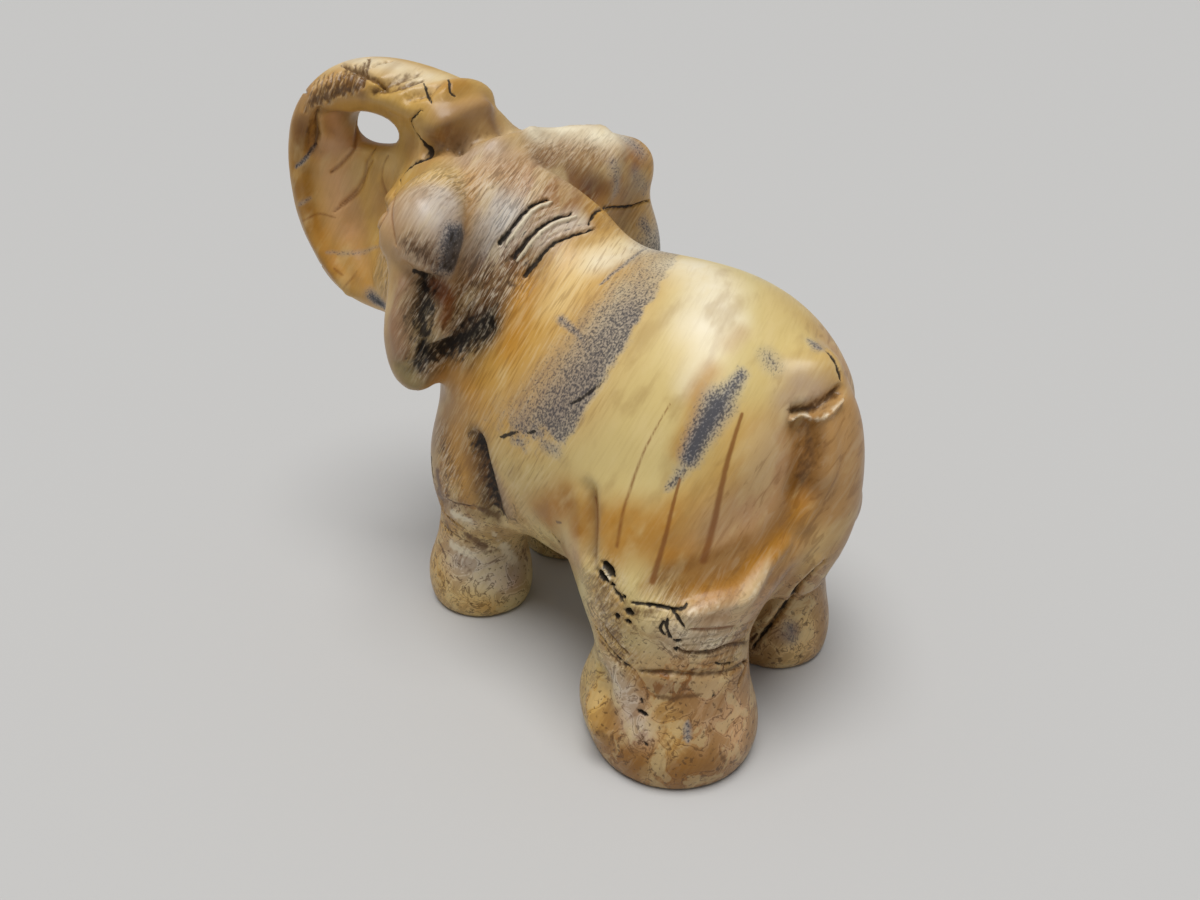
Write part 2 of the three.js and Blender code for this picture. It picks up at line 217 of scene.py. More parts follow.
# Soft washes of colour in the picture, some of them painted shade and painted highlight: half
# width, colour, strength, path
washes = [
    # trunk
    (6.5, "gold", 0.8, [(310, 90), (300, 160), (320, 240), (370, 300)]),
    # the trunk's left rim: golden-brown stone, darkened further as painted shade on the side that
    # faces away from the light
    (2.2, "deepOchre", 0.75,
     [(322, 82), (302, 105), (297, 150), (300, 190), (312, 232), (330, 268)]),
    (5, "gold", 0.7, [(390, 180), (390, 240), (380, 290)]),
    (3, "tan", 0.8, [(340, 170), (345, 200), (350, 235), (358, 270)]),
    (3, "honey", 0.6, [(318, 238), (345, 232), (338, 262), (365, 290)]),
    (2.8, "peach", 1, [(338, 122), (342, 142), (330, 150)]),
    (2.6, "peach", 0.8, [(336, 180), (340, 205), (347, 228)]),
    (1.6, "deepOchre", 0.8, [(306, 98), (302, 115), (300, 130)]),
    (1.2, "umber", 0.7, [(318, 112), (335, 113), (357, 118)]),
    (1.5, "umber", 0.6, [(306, 100), (301, 118), (302, 140)]),
    (2.4, "tan", 0.7, [(384, 200), (386, 225), (382, 245)]),
    (2.8, "tan", 0.85, [(308, 104), (325, 88), (350, 84)]),
    (1.2, "umber", 0.6, [(345, 88), (356, 78), (360, 92)]),
    (2.2, "paleGold", 0.6, [(395, 130), (388, 160), (400, 170)]),
    (3, "cream", 0.7, [(345, 60), (365, 60), (400, 68), (430, 78)]),
    (3, "gold", 0.8, [(440, 95), (460, 100), (482, 104)]),
    (2.4, "strip", 0.75, [(446, 114), (466, 114), (488, 107)]),
    # painted shade along the groove under the overhanging tip of the trunk
    (1.9, "umber", 0.85, [(432, 141), (450, 135), (474, 131), (498, 121)]),
    (2.2, "tan", 0.7, [(412, 150), (425, 160), (440, 150)]),
    (1.1, "ochre", 0.6, [(436, 88), (450, 90), (462, 88)]),
    # head: the dome of the ear, the valley behind it and the nape
    (4.5, "greyTan", 0.85, [(405, 210), (425, 200), (440, 240), (415, 255)]),
    # painted highlight on the top of the ear's dome
    (2.8, "paleGrey", 0.6, [(432, 212), (442, 198)]),
    (1.5, "pinkTan", 0.5, [(393, 200), (394, 230), (402, 255)]),
    (3.6, "paleGold", 0.6, [(440, 172), (465, 160), (500, 140)]),
    (1.3, "tan", 0.8, [(462, 150), (472, 170), (476, 200), (474, 232)]),
    (4, "pinkTan", 0.8, [(500, 165), (530, 175), (562, 192)]),
    (2.4, "deepOchre", 0.5, [(550, 188), (572, 205), (592, 220)]),
    (3, "paleGrey", 1, [(505, 212), (492, 242), (487, 260)]),
    (2, "paleGrey", 0.6, [(540, 240), (560, 228), (580, 222)]),
    (3.4, "umber", 0.95, [(464, 318), (486, 288), (510, 266)]),
    (2.2, "umber", 0.7, [(462, 295), (478, 270)]),
    # painted shade under the lower rim of the left ear flap
    (2.8, "darkUmber", 0.95, [(428, 364), (455, 348), (478, 332), (498, 308)]),
    # right ear, and the crown beside it
    (2.8, "cream", 1, [(530, 133), (580, 134), (622, 138)]),
    # the concave rear of the right ear: brown stone, darkened further as painted shade
    (3, "umber", 0.85, [(552, 158), (575, 172), (598, 196)]),
    (1.6, "rust", 0.6, [(585, 180), (600, 192)]),
    (2.8, "russet", 0.8, [(636, 155), (632, 182)]),
    (2.8, "umber", 0.6, [(632, 190), (622, 225)]),
    (3, "greyTan", 0.9, [(468, 150), (492, 150)]),
    # left ear flap
    (1.5, "strip", 0.95, [(402, 285), (396, 330), (402, 362)]),
    # painted shade on the flap's rear face under the fold
    (2.3, "darkUmber", 0.95, [(430, 290), (424, 322), (428, 350)]),
    (1.4, "rust", 0.95, [(444, 290), (452, 306), (442, 322)]),
    (1.6, "olive", 1, [(402, 370), (408, 380), (414, 386)]),
    # shoulder and belly
    (5.5, "gold", 0.75, [(500, 420), (535, 350), (575, 280)]),
    (2.6, "honey", 1, [(510, 345), (518, 312), (526, 288)]),
    (3.4, "paleGold", 0.95, [(560, 300), (590, 260), (640, 245)]),
    (3, "cream", 0.8, [(600, 262), (640, 248), (668, 252)]),
    (4, "honey", 0.6, [(455, 380), (470, 400)]),
    (5, "butter", 0.7, [(510, 470), (540, 480), (570, 470)]),
    (2.4, "greyTan", 0.8, [(490, 475), (508, 520), (530, 555)]),
    (3.4, "ochre", 1, [(545, 515), (565, 502), (580, 504), (578, 530)]),
    (2.5, "pinkTan", 0.7, [(550, 562), (575, 555)]),
    # rump
    (6.5, "butter", 0.85, [(650, 400), (630, 450), (610, 480)]),
    # painted highlight on the top of the rump
    (4.1, "cream", 1, [(690, 266), (714, 286), (706, 318)]),
    (2.2, "cream", 0.6, [(735, 320), (712, 350), (692, 385)]),
    (1.3, "pinkTan", 0.55, [(730, 345), (742, 332)]),
    (1.5, "ochre", 0.8, [(712, 372), (700, 392), (692, 425), (680, 450)]),
    (5, "butter", 0.6, [(760, 370), (745, 410)]),
    (4, "gold", 0.7, [(745, 440), (735, 470), (700, 500)]),
    (3.5, "butter", 0.7, [(790, 330), (790, 350)]),
    (4.2, "pinkTan", 0.75, [(778, 445), (760, 490), (722, 525), (685, 545)]),
    (3, "ochre", 0.75, [(600, 518), (640, 520), (672, 520)]),
    (3.6, "ochre", 0.8, [(612, 545), (640, 540), (680, 562)]),
    (2.4, "deepOchre", 0.85, [(805, 500), (780, 535), (752, 566), (712, 584), (672, 592)]),
    (2.2, "honey", 0.7, [(812, 520), (790, 555), (765, 580)]),
    (1.4, "ochre", 0.8, [(803, 505), (783, 532), (756, 562)]),
    (1, "deepOchre", 0.8, [(745, 540), (715, 556), (680, 568), (645, 590)]),
    (2.6, "greyTan", 0.8, [(800, 385), (815, 392), (792, 400)]),
    # tail
    # painted shade in the hollow between the tail and the rump
    (2.2, "deepOchre", 1, [(806, 428), (809, 458), (801, 490)]),
    (4, "tan", 0.8, [(842, 420), (845, 470), (835, 520), (815, 560)]),
    # left hind leg
    (3, "honey", 0.8, [(600, 600), (605, 640)]),
    (3.8, "cream", 0.6, [(672, 638), (700, 640), (728, 630)]),
    # painted highlight along the ledge of the haunch
    (1.1, "cream", 0.9, [(692, 612), (722, 605), (745, 599), (757, 587), (768, 571)]),
    (1.2, "umber", 0.8, [(590, 500), (591, 525), (590, 556)]),
    (2.4, "deepOchre", 0.5, [(606, 586), (614, 606), (624, 622)]),
    (2.6, "paleGold", 0.8, [(600, 612), (606, 634), (612, 650)]),
    (2, "ochre", 0.7, [(700, 600), (735, 590), (760, 568)]),
    (3.6, "pinkTan", 0.8, [(700, 636), (735, 622), (775, 590)]),
    (2.4, "tan", 0.7, [(640, 662), (680, 668), (725, 664)]),
    (2.6, "cream", 0.7, [(690, 640), (715, 640)]),
    (2.6, "ochre", 0.7, [(640, 768), (680, 770)]),
    (2.6, "paleGrey", 0.6, [(612, 675), (628, 700), (640, 730)]),
    (2, "russet", 1, [(648, 680), (672, 684), (702, 680)]),
    (1.4, "umber", 0.8, [(655, 688), (675, 690), (690, 686)]),
    (3, "pinkTan", 0.75, [(710, 695), (715, 720)]),
    (2.4, "gold", 0.85, [(597, 700), (600, 725)]),
    (4.5, "deepOchre", 0.8, [(630, 764), (665, 772), (700, 772)]),
    (2.2, "gold", 0.6, [(660, 715), (672, 740)]),
    (2.8, "peach", 0.8, [(738, 715), (738, 740)]),
    # left fore leg and belly
    (2, "peach", 0.8, [(504, 578), (515, 584)]),
    (4, "honey", 0.75, [(448, 420), (455, 460), (452, 490)]),
    # painted shade in the hollow between the fore leg and the belly
    (2.4, "darkUmber", 0.9, [(478, 442), (486, 478), (494, 518)]),
    (1.8, "deepOchre", 0.8, [(440, 500), (460, 505), (474, 520)]),
    (1.6, "umber", 0.7, [(468, 452), (474, 470), (478, 488)]),
    (2, "deepOchre", 0.5, [(568, 500), (580, 512), (580, 528)]),
    (2.5, "cream", 0.5, [(455, 514), (470, 524)]),
    (4.2, "paleGrey", 0.7, [(465, 562), (508, 572)]),
    (2.4, "paleGold", 0.9, [(508, 522), (530, 548)]),
    (2.4, "paleGold", 0.6, [(824, 540), (812, 562)]),
    (2.4, "honey", 0.6, [(470, 605), (490, 608)]),
    # right hind leg
    (3, "peach", 0.8, [(796, 640), (802, 664)]),
    (1, "darkUmber", 0.5, [(787, 628), (790, 637)]),
    (4, "paleGold", 0.8, [(798, 625), (794, 660)]),
    (1.5, "plum", 0.8, [(785, 635), (793, 632)]),
]

# Soft forms: view, half width, what it does, path
forms = [
    # trunk: hollow of the inside, flat rim, junction of the tip and the forehead
    ("photo", 2.2, {"groove": 0.7}, [(334, 122), (338, 138), (328, 148)]),
    ("photo", 1.6, {"groove": 0.4}, [(314, 178), (320, 215), (334, 252), (354, 284)]),
    ("photo", 1.1, {"ridge": 0.3}, [(300, 180), (307, 220), (324, 258), (348, 292)]),
    ("photo", 1.3, {"ridge": 0.3}, [(388, 168), (379, 200), (384, 240), (376, 275)]),
    ("photo", 1.4, {"groove": 0.35}, [(364, 160), (352, 200), (360, 245), (368, 282)]),
    ("photo", 0.9, {"groove": 0.5, "brown": 0.6}, [(319, 112), (317, 130), (313, 150)]),
    ("top", 1.5, {"groove": 0.9}, [(-3.5, -8.9), (0.5, -8.6), (4.5, -8.9)]),
    ("top", 1.6, {"ridge": 0.6}, [(-1.5, -11.4), (1, -11.2), (3.5, -11.4)]),
    # the brown in this groove is painted shade under the overhanging tip
    ("photo", 1.3, {"groove": 1.1, "brown": 0.4},
     [(426, 150), (438, 144), (456, 139), (478, 134), (500, 129), (516, 125)]),
    ("photo", 1.9, {"ridge": 0.6}, [(440, 126), (462, 120), (486, 110)]),
    # dome of the ear, valley behind it, crease under it
    ("photo", 2.4, {"groove": 0.7}, [(456, 150), (468, 172), (475, 200), (474, 232), (468, 262)]),
    ("photo", 3.4, {"ridge": 0.6}, [(424, 205), (430, 225), (437, 242)]),
    ("photo", 1.1, {"groove": 0.9}, [(404, 270), (415, 278), (428, 284), (442, 287)]),
    ("photo", 2, {"groove": 0.9}, [(430, 292), (425, 320), (430, 346)]),
    ("photo", 0.9, {"ridge": 0.35}, [(402, 290), (396, 325), (402, 358)]),
    ("photo", 1.8, {"groove": 0.9}, [(414, 370), (437, 356), (460, 342), (482, 328)]),
    ("photo", 1.6, {"ridge": 0.5}, [(497, 142), (525, 133), (560, 131), (600, 130)]),
    ("photo", 2.6, {"groove": 0.8}, [(552, 160), (575, 175), (598, 196)]),
    ("photo", 1.3, {"ridge": 0.35}, [(618, 148), (612, 178), (604, 206)]),
    # shoulder, flank and haunch
    ("photo", 2, {"groove": 0.35}, [(470, 378), (498, 332), (518, 290), (536, 262)]),
    ("photo", 1.3, {"groove": 0.7}, [(588, 492), (589, 522), (588, 558)]),
    ("photo", 3, {"groove": 0.7}, [(812, 505), (790, 540), (760, 568), (715, 586), (670, 594)]),
    ("photo", 1.1, {"ridge": 0.6},
     [(688, 614), (722, 605), (745, 599), (757, 587), (768, 571), (790, 545)]),
    ("photo", 0.9, {"ridge": 0.3}, [(816, 560), (793, 583), (781, 600), (765, 620)]),
    # tail
    ("photo", 2, {"groove": 0.9}, [(806, 428), (810, 455), (804, 490)]),
    ("photo", 1.3, {"ridge": 0.5}, [(824, 424), (828, 455), (822, 490), (806, 525)]),
    # toe, and the hollow behind the fore leg
    ("photo", 2.2, {"ridge": 0.9}, [(596, 706), (599, 722)]),
    ("photo", 1.3, {"groove": 0.5}, [(600, 672), (606, 680), (604, 692)]),
    ("photo", 1.5, {"groove": 0.9}, [(478, 442), (486, 478), (495, 518)]),
    ("photo", 1.1, {"groove": 0.35}, [(440, 503), (458, 508), (474, 512)]),
]

# Marks in the picture: half width, what it does, path
photoMarks = [
    # trunk
    (0.26, {"black": 1, "groove": 0.25, "ends": (0.3, 1)},
     [(422, 110), (414, 117), (411, 123), (418, 136), (423, 147)]),
    (0.32, {"black": 1, "groove": 0.25, "ends": (1, 0.3)},
     [(423, 147), (422, 158), (412, 166), (402, 176), (400, 184)]),
    (0.2, {"black": 0.9, "groove": 0.12}, [(424, 82), (427, 92), (431, 103)]),
    (0.15, {"black": 0.7}, [(416, 84), (424, 81)]),
    (0.2, {"black": 0.9, "groove": 0.12}, [(448, 81), (450, 95), (455, 97)]),
    (0.3, {"dark": 1.1, "groove": 0.12}, [(296, 167), (306, 158), (316, 149)]),
    (0.35, {"brown": 0.9, "groove": 0.25}, [(316, 149), (319, 130), (317, 114)]),
    (0.5, {"brown": 1, "groove": 0.5}, [(341, 64), (360, 71), (382, 84)]),
    (0.55, {"brown": 0.8, "groove": 0.5, "ends": (0.2, 1)}, [(364, 70), (376, 64), (388, 61)]),
    (0.9, {"brown": 0.75, "groove": 0.6}, [(383, 84), (398, 78), (416, 72)]),
    (0.6, {"brown": 0.85, "groove": 0.5}, [(372, 92), (396, 87), (420, 79)]),
    (0.8, {"brown": 0.5, "groove": 0.5}, [(408, 98), (425, 93), (440, 88)]),
    (0.42, {"line": 0.65, "groove": 0.25}, [(358, 118), (355, 143), (343, 162), (331, 173)]),
    (0.34, {"line": 0.6, "groove": 0.15},
     [(376, 147), (366, 162), (362, 185), (351, 199), (334, 212)]),
    (0.34, {"line": 0.6, "groove": 0.15}, [(388, 155), (383, 174), (388, 203), (381, 233)]),
    (0.3, {"line": 0.6}, [(304, 221), (318, 214), (336, 218)]),
    (0.4, {"dark": 0.45}, [(326, 252), (353, 253), (381, 246)]),
    (0.3, {"line": 0.6}, [(356, 270), (346, 285), (344, 292)]),
    (0.3, {"line": 0.6}, [(334, 268), (342, 276)]),
    (0.3, {"dark": 0.6}, [(300, 205), (311, 198)]),
    (1.5, {"dark": 1.3, "black": 0.4}, [(374, 299), (382, 304)]),
    (0.3, {"line": 0.6, "groove": 0.12}, [(372, 160), (356, 190), (340, 205)]),
    (0.3, {"line": 0.6, "groove": 0.12}, [(396, 190), (392, 215), (396, 245)]),
    (0.5, {"brown": 0.6}, [(312, 120), (308, 135), (311, 146)]),
    # ear: blotch, dark oval, crease
    (1.7, {"brown": 0.65, "grain": 1}, [(413, 246), (424, 251), (432, 262)]),
    (1.5, {"dark": 1.5, "black": 0.4, "grain": 1}, [(450, 236), (448, 250), (445, 264)]),
    (1.4, {"dark": 1.5, "black": 0.4, "grain": 1}, [(460, 234), (458, 250), (453, 266)]),
    (1, {"dark": 1.4, "black": 0.4, "grain": 1}, [(467, 238), (465, 250), (459, 264)]),
    # the black of the crease under the dome is painted shade
    (0.5, {"black": 1}, [(411, 276), (422, 280), (434, 285)]),
    # painted shade on the flap's rear face under the fold, over its dark grain
    (2.6, {"black": 0.55, "grain": 1}, [(430, 292), (425, 318), (428, 350)]),
    # the cream on the flap's lower rim is painted highlight
    (0.4, {"cream": 0.45, "ridge": 0.4},
     [(408, 366), (420, 362), (431, 351), (443, 338), (459, 321), (474, 298)]),
    # painted shade under the lower rim of the flap, over its dark grain
    (2.4, {"black": 0.6, "grain": 1}, [(424, 362), (442, 352), (462, 340), (488, 320)]),
    (3.4, {"black": 0.25, "brown": 0.55, "grain": 1}, [(455, 335), (478, 306), (505, 276)]),
    (3.5, {"brown": 0.4, "grain": 1}, [(460, 310), (485, 280), (510, 255)]),
    (6, {"grain": 0.55}, [(440, 180), (520, 190), (500, 240)]),
    (3, {"grain": 0.5}, [(540, 150), (600, 150)]),
    (1.5, {"rust": 1.2, "grain": 0.7}, [(443, 292), (450, 304), (446, 318)]),
    # right ear
    (1.6, {"dark": 0.6}, [(628, 140), (642, 152)]),
    (1.1, {"dark": 0.6}, [(612, 165), (616, 190)]),
    (1.2, {"dark": 0.5}, [(635, 172), (645, 190)]),
    (0.28, {"black": 0.8, "groove": 0.3},
     [(589, 224), (596, 212), (610, 208), (629, 207), (649, 201)]),
    (1.2, {"dark": 0.8}, [(643, 222), (650, 234)]),
    # band: its dark hook, streak and flecks
    (0.6, {"dark": 0.9}, [(560, 319), (571, 328), (583, 340), (587, 356)]),
    (0.35, {"black": 0.6}, [(570, 404), (586, 396), (602, 382)]),
    (0.28, {"black": 0.9}, [(500, 437), (510, 434), (519, 432)]),
    (0.22, {"black": 0.8}, [(526, 434), (537, 431)]),
    (1, {"dark": 0.7}, [(545, 445), (556, 450)]),
    (0.4, {"dark": 0.8}, [(600, 285), (625, 264), (637, 254), (652, 247), (668, 246)]),
    # rump: grey streak and spot, brown lines
    (1.2, {"dark": 1.1, "ends": (0.6, 1.2)}, [(742, 374), (732, 388), (718, 404)]),
    (1.8, {"dark": 1.4, "ends": (1, 0.6)}, [(718, 404), (708, 422), (697, 441), (689, 459)]),
    (0.9, {"dark": 0.8, "ends": (1, 0.5)}, [(689, 459), (677, 478), (668, 488)]),
    (1.3, {"dark": 0.6}, [(768, 357), (773, 364)]),
    (0.4, {"line": 0.7, "ends": (0.3, 1)},
     [(670, 404), (656, 428), (642, 456), (631, 487), (623, 512), (617, 546)]),
    (0.45, {"line": 1, "ends": (0.4, 1)},
     [(680, 479), (674, 501), (666, 534), (660, 556), (652, 582)]),
    (0.58, {"line": 1, "ends": (0.4, 1)},
     [(742, 414), (733, 442), (725, 471), (719, 499), (713, 526), (704, 560)]),
    (0.25, {"line": 0.9, "groove": 0.1}, [(589, 498), (592, 515), (591, 540)]),
    (0.35, {"black": 0.8, "groove": 0.2}, [(826, 350), (836, 362), (841, 380)]),
    (0.8, {"dark": 0.9}, [(812, 342), (818, 348)]),
    # tail: lip over its root
    (0.7, {"brown": 0.9, "groove": 0.7}, [(796, 411), (812, 408), (828, 400), (840, 390)]),
    # the cream on the lip is painted highlight along its rim
    (0.5, {"cream": 0.55, "ridge": 0.5},
     [(792, 421), (803, 415), (815, 419), (831, 411), (840, 399)]),
    # painted shade in the hollow beside the tail
    (1.6, {"brown": 0.6}, [(808, 440), (811, 455), (806, 478)]),
    # haunch: fold lip and crevice
    # painted highlight along the ledge of the haunch
    (0.8, {"cream": 0.35}, [(690, 612), (722, 605), (745, 599), (757, 587), (768, 571)]),
    # the black in the crevice is painted shade
    (0.45, {"black": 0.7, "groove": 0.5},
     [(824, 560), (801, 583), (789, 600), (774, 620), (752, 648)]),
    # left hind leg: pits, flower of cracks, wrinkles
    (0.5, {"black": 1.3, "groove": 0.7}, [(602, 563), (608, 568), (613, 575)]),
    (0.5, {"black": 1.3, "groove": 0.7}, [(598, 571), (602, 577), (607, 581)]),
    (0.2, {"cream": 0.9, "ridge": 0.3}, [(602, 567), (607, 573), (612, 580)]),
    (0.4, {"black": 1.3, "groove": 0.6}, [(612, 584), (613, 586)]),
    (0.35, {"black": 1.2, "groove": 0.5}, [(622, 596), (624, 598)]),
    (0.4, {"black": 0.7, "groove": 0.3}, [(612, 588), (618, 596), (622, 603)]),
    (0.5, {"black": 1.3, "groove": 0.6}, [(626, 611), (632, 613)]),
    (0.35, {"black": 1.2, "groove": 0.5}, [(615, 617), (618, 616)]),
    (0.35, {"black": 1.2, "groove": 0.5}, [(626, 621), (631, 623)]),
    (0.22, {"black": 0.9, "groove": 0.2}, [(631, 603), (645, 605), (660, 607)]),
    (1, {"brown": 0.7}, [(636, 612), (655, 612)]),
    (0.24, {"black": 1, "groove": 0.3},
     [(646, 606), (660, 608), (671, 611), (684, 609), (687, 604)]),
    (0.26, {"black": 1, "groove": 0.3}, [(671, 611), (677, 618), (684, 627)]),
    (0.22, {"black": 1, "groove": 0.3}, [(668, 620), (667, 629), (671, 639)]),
    (0.22, {"black": 1, "groove": 0.3}, [(664, 622), (660, 629), (665, 636)]),
    (0.25, {"black": 0.9, "groove": 0.3}, [(674, 641), (682, 642)]),
    (0.35, {"black": 1.2, "groove": 0.4}, [(675, 648), (678, 650)]),
    (0.35, {"brown": 1, "black": 0.3, "groove": 0.35},
     [(678, 650), (689, 654), (710, 653), (728, 646), (747, 643), (757, 634)]),
    (0.35, {"line": 0.8, "groove": 0.2}, [(690, 630), (713, 630), (736, 627)]),
    (0.28, {"black": 0.7, "groove": 0.25}, [(716, 663), (724, 665), (732, 663)]),
    (0.5, {"brown": 0.7, "groove": 0.35},
     [(640, 672), (671, 674), (703, 676), (730, 671), (747, 661)]),
    (0.4, {"brown": 0.8, "groove": 0.2}, [(747, 660), (744, 672), (738, 686)]),
    (0.3, {"black": 0.6, "groove": 0.25}, [(595, 626), (606, 644), (618, 658), (630, 668)]),
    (0.3, {"brown": 0.9, "groove": 0.2}, [(602, 622), (614, 640), (628, 655)]),
    (0.25, {"brown": 0.8, "groove": 0.15}, [(600, 640), (612, 656), (626, 668)]),
    (0.32, {"black": 1.3, "groove": 0.5}, [(638, 712), (643, 714), (647, 716)]),
    (0.25, {"black": 0.7, "groove": 0.2}, [(641, 698), (642, 703)]),
    (0.25, {"black": 0.7, "groove": 0.2}, [(643, 742), (648, 746)]),
    (0.5, {"dark": 0.9}, [(687, 722), (688, 742)]),
    (0.25, {"black": 0.6}, [(713, 697), (716, 694)]),
    (0.5, {"brown": 0.8}, [(655, 696), (675, 698), (702, 694)]),
    (0.8, {"brown": 0.6}, [(604, 732), (612, 738)]),
    (0.5, {"brown": 0.7}, [(702, 775), (706, 781)]),
    (0.5, {"brown": 0.7}, [(720, 752), (726, 765)]),
    (3.4, {"brown": 0.5, "grain": 0.7}, [(600, 585), (605, 620), (622, 650)]),
    (3, {"grain": 0.45}, [(660, 600), (690, 640), (730, 650)]),
    # belly and fore leg
    (2.4, {"brown": 0.3, "grain": 0.8}, [(442, 440), (448, 470), (446, 495)]),
    (0.32, {"black": 1.2, "groove": 0.4}, [(553, 534), (557, 541), (560, 543)]),
    (0.2, {"brown": 0.9}, [(556, 521), (562, 523)]),
    (0.3, {"brown": 0.8}, [(513, 504), (516, 512)]),
    (0.3, {"brown": 0.8}, [(515, 518), (518, 524)]),
    # painted shade in the hollow between the fore leg and the belly, over its dark grain
    (1.7, {"black": 0.6, "brown": 1, "grain": 1},
     [(476, 442), (484, 466), (489, 490), (497, 514)]),
    (0.9, {"brown": 0.9}, [(478, 508), (490, 518), (496, 522)]),
    (0.5, {"brown": 1, "black": 0.4}, [(447, 501), (458, 506), (470, 506)]),
    (1, {"cream": 0.9}, [(452, 514), (468, 520)]),
    (0.7, {"cream": 0.6}, [(492, 530), (498, 540)]),
    (0.6, {"brown": 0.8}, [(488, 552), (498, 550)]),
    (0.35, {"black": 0.7}, [(431, 453), (433, 478)]),
    (0.4, {"brown": 0.9}, [(438, 540), (446, 558)]),
    (1, {"brown": 0.5}, [(455, 560), (470, 570)]),
    (0.9, {"brown": 0.9}, [(437, 470), (440, 492), (438, 506)]),
    (0.7, {"brown": 0.8}, [(446, 522), (450, 532)]),
    (1, {"brown": 1}, [(468, 536), (484, 546)]),
    (1, {"cream": 0.9}, [(452, 545), (470, 554)]),
    (0.9, {"cream": 0.9}, [(504, 546), (515, 562)]),
    (0.6, {"brown": 0.7}, [(520, 545), (528, 560)]),
    # right hind leg
    (1, {"dark": 0.5}, [(790, 625), (792, 640)]),
]
marks = [("photo", *mark) for mark in photoMarks]

# The ridged zone inside the trunk's bend: short cuts side by side
for n in range(13):
    x, y = 306 + 4.6 * n, 100 - 1.7 * n
    bite = n * 7 % 5 / 5  # makes some of them longer and deeper
    cut = {"brown": 0.7 + 0.5 * bite, "groove": 0.15 + 0.2 * bite, "grain": 0.8, "ends": (0.4, 1)}
    path = [(x + 8, y - 18 - 4 * bite), (x + 3, y - 3), (x, y + 11 - 6 * bite)]
    marks.append(("photo", 0.45, cut, path))

# The folds of the neck: thin cuts and pale ridges that fan out between two lines. The black in the
# cuts is painted shade, and the cream on the pale ridges is partly white streaks and partly painted
# highlight
folds = 7
upper = [(501, 243), (515, 224), (530, 207), (548, 199)]
lower = [(524, 273), (544, 251), (562, 239), (596, 228)]
for n in range(folds):
    share = n / (folds - 1)
    path = [(a + (c - a) * share, b + (d - b) * share) for (a, b), (c, d) in zip(upper, lower)]
    deep = n % 3 == 0
    if deep:
        wide, cut = 0.3, {"black": 0.85, "groove": 0.4, "ends": (1.3, 0.5)}
        paleWide, pale = 0.34, {"cream": 0.9, "ridge": 0.22}
    else:
        wide, cut = 0.16, {"black": 0.35, "groove": 0.06}
        paleWide, pale = 0.2, {"cream": 0.5}
    marks.append(("photo", wide, cut, path))
    if n < folds - 1:
        marks.append(("photo", paleWide, pale, [(x + 4, y + 3) for x, y in path]))

# Wrinkles round the left hind leg
for n in range(6):
    path = [(676 + 3 * n, 640 + 6 * n), (712, 636 + 7 * n), (752 - 3 * n, 622 + 8 * n)]
    marks.append(("photo", 0.18, {"brown": 0.45, "groove": 0.12}, path))

# Sides the picture doesn't show, in keeping and plainer: eyes, mouth and fore-leg wrinkles
for side in ("left", "right"):
    marks += [
        (side, 1.7, {"groove": 0.5}, [(-15, 36.4), (-13.4, 36.7)]),
        (side, 0.8, {"ridge": 0.55, "black": 0.9}, [(-14.4, 36.4), (-14.1, 36.5)]),
        (side, 0.45, {"groove": 0.25, "brown": 0.8}, [(-16.1, 36.4), (-14.4, 37.6), (-12.6, 37)]),
        (side, 0.4, {"groove": 0.2, "brown": 0.6}, [(-15.9, 36.1), (-14.3, 35.2), (-12.8, 35.8)]),
        (side, 1.3, {"ridge": 0.35}, [(-17, 38.2), (-14.5, 39.2), (-12.4, 38.4)]),
        (side, 0.45, {"groove": 0.45, "brown": 0.9}, [(-19.6, 27), (-16.6, 27.4), (-13.2, 29)]),
        (side, 0.3, {"groove": 0.2, "brown": 0.6}, [(-10, 11.2), (-7, 11.8), (-4.4, 11.2)]),
        (side, 0.3, {"groove": 0.2, "brown": 0.6}, [(-10.4, 9.2), (-7, 9.6), (-4.2, 9)]),
    ]

# Wrinkles across the trunk's front
for n in range(8):
    z = 30.5 + 2.3 * n    # mm
    cut = {"groove": 0.18 + 0.05 * (n % 3), "brown": 0.35 + 0.15 * (n % 2)}
    marks.append(("front", 0.35, cut, [(2.6, z + 0.5), (5.4, z), (8.4, z + 0.6)]))

# Folds, veins and cracks of the other hidden sides
marks += [
    ("right", 2.6, {"groove": 0.5}, [(24, 24), (21, 19.5), (16, 17), (11.5, 17.5)]),
    ("right", 1, {"ridge": 0.4}, [(23, 18), (19, 15.4), (14, 14.6)]),
    ("right", 1.2, {"groove": 0.45}, [(11.2, 22), (10.8, 16), (11.6, 11.5)]),
    ("right", 1.2, {"groove": 0.45}, [(-1.5, 21), (-2.6, 15), (-3, 11)]),
    ("right", 0.35, {"groove": 0.25, "brown": 0.9},
     [(13.6, 10), (17, 10.7), (21, 10.4), (24, 9.6)]),
    ("right", 0.3, {"groove": 0.2, "brown": 0.7}, [(13.8, 8), (18, 8.7), (23, 8)]),
    ("right", 0.3, {"black": 0.9, "groove": 0.3}, [(15.4, 12.4), (16.4, 13.2), (16.8, 14.4)]),
    ("right", 0.5, {"line": 0.8}, [(16, 30), (14.6, 25), (13.6, 19.5)]),
    ("right", 0.6, {"line": 0.9}, [(20, 29), (18.4, 24), (17, 18.6)]),
    ("right", 3, {"brown": 0.3, "grain": 0.8}, [(-9, 34), (-7, 29), (-6, 24)]),
    ("right", 4, {"grain": 0.6}, [(-14, 33), (-11, 38), (-8, 41)]),
    ("left", 4, {"grain": 0.6}, [(-15, 32), (-13, 36), (-11, 39)]),
    ("rear", 1.2, {"groove": 0.6, "brown": 0.4}, [(-3, 30), (-3, 24), (-1.4, 17)]),
    ("front", 0.28, {"black": 0.8, "groove": 0.25}, [(-3.4, 41), (-2.8, 38), (-3.3, 35.4)]),
    ("front", 0.9, {"brown": 0.6}, [(7, 15), (8, 12), (7.6, 9)]),
]

